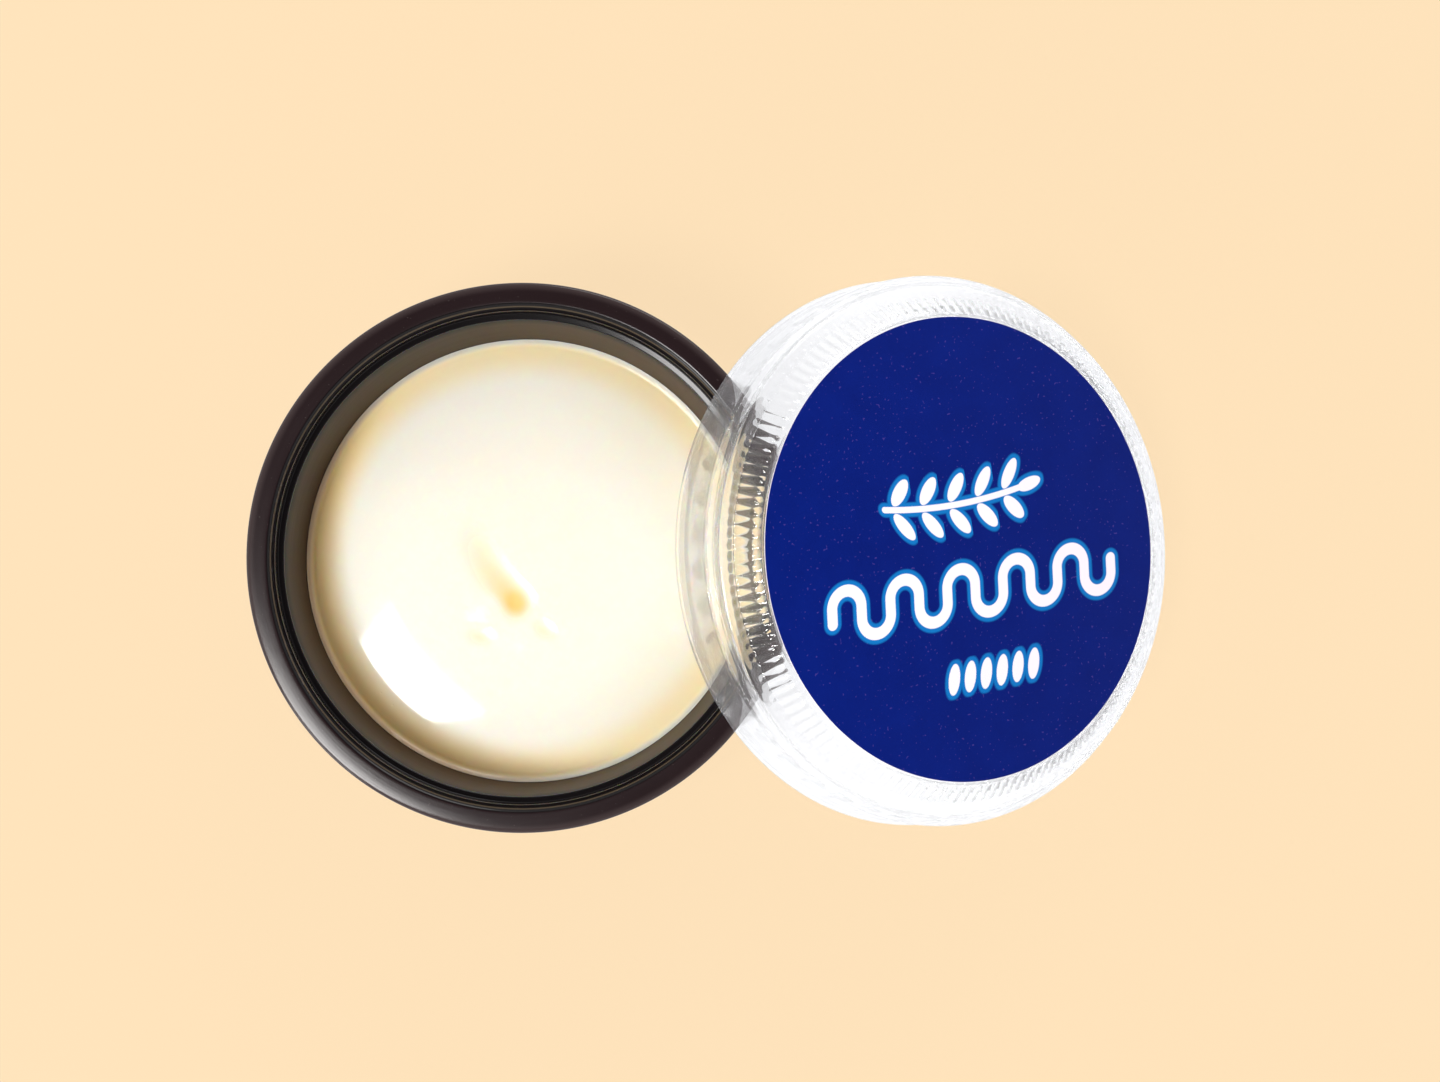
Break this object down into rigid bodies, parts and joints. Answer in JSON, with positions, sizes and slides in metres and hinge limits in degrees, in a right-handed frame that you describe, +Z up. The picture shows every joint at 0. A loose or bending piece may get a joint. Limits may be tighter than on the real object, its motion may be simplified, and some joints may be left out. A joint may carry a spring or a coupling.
{
  "type": "portion pot of mayonnaise",
  "caption": "Round black plastic portion pot filled with mayonnaise, open, with its clear press-on lid and a plain blue label leaning against the rim.",
  "frame": {"origin": "centre of the pot's base, on the surface it stands on", "axes": "+Z up along the pot's axis, +X from the pot towards the low side of the leaning lid"},
  "size_m": [0.129, 0.0768, 0.0459],
  "materials": {
    "pot": "satin moulded black plastic with fine turned lines on the rim",
    "mayonnaise": "soft glossy cream",
    "lid": "clear thin moulded plastic, slightly milky",
    "label": "printed satin paper, deep blue"
  },
  "bodies": {
    "root": {"pot": "pot", "mayonnaise": "mayonnaise", "lid": "lid", "label": "label"}
  },
  "joints": []
}
